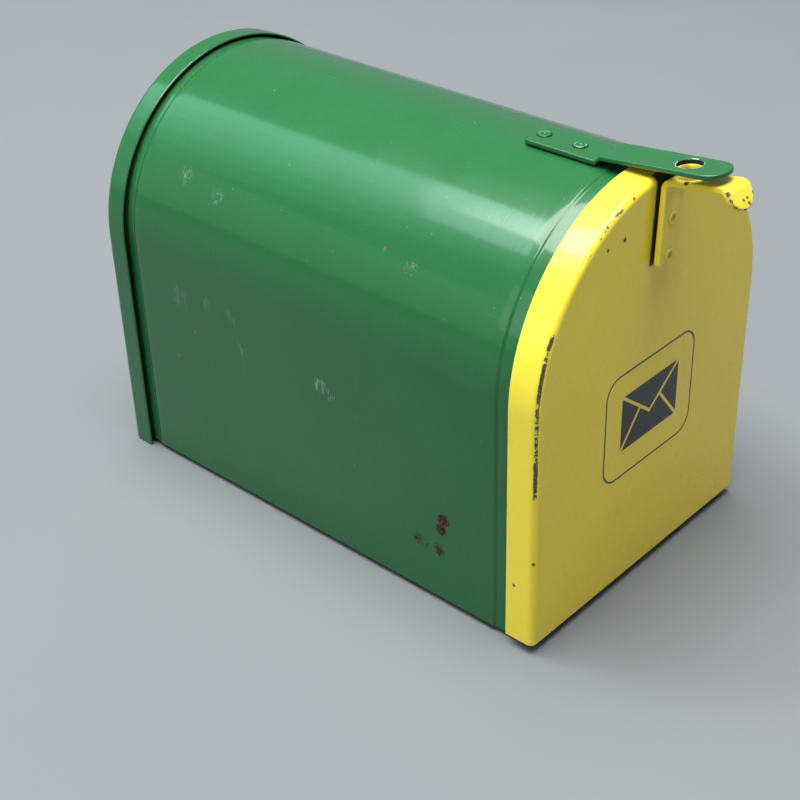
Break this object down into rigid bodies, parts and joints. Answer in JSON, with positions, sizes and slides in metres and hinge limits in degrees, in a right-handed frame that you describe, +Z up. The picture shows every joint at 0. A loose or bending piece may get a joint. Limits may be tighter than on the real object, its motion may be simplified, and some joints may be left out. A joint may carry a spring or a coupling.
{
  "type": "miniature post box",
  "caption": "Small arched sheet-steel rural post box with a drop-down front door, latch strap, pull handle and side signal flag.",
  "frame": {"origin": "centre of the floor pan's flat underside, on the surface the box stands on, in the box's plane of symmetry and halfway between the door's face and the back panel's face", "axes": "+Z up, the door faces -Y, the flag is on the +X side"},
  "size_m": [0.0813, 0.1522, 0.1045],
  "materials": {
    "green_enamel": "gloss",
    "yellow_enamel": "gloss",
    "red_enamel": "gloss",
    "zinc_steel": "satin"
  },
  "bodies": {
    "box": {"body_shell": "green_enamel", "back_panel": "green_enamel", "floor_pan": "zinc_steel", "hinge_pin": "zinc_steel", "latch_strap": "green_enamel", "strap_rivet_rear": "green_enamel", "strap_rivet_front": "green_enamel", "flag_pivot_rivet": "zinc_steel", "flag_spring_washer": "zinc_steel"},
    "door": {"door_panel": "yellow_enamel", "door_handle": "yellow_enamel", "handle_rivet_upper": "yellow_enamel", "handle_rivet_lower": "yellow_enamel"},
    "flag": {"flag": "red_enamel"}
  },
  "joints": [
    {"name": "door_hinge", "type": "hinge", "parent": "box", "child": "door", "pos_m": [0, -0.0631, 0.00425], "axis": [1, 0, 0], "range_deg": [0, 78]},
    {"name": "flag_pivot", "type": "hinge", "parent": "box", "child": "flag", "pos_m": [0.0395, -0.0427, 0.05], "axis": [1, 0, 0], "range_deg": [0, 90]}
  ]
}
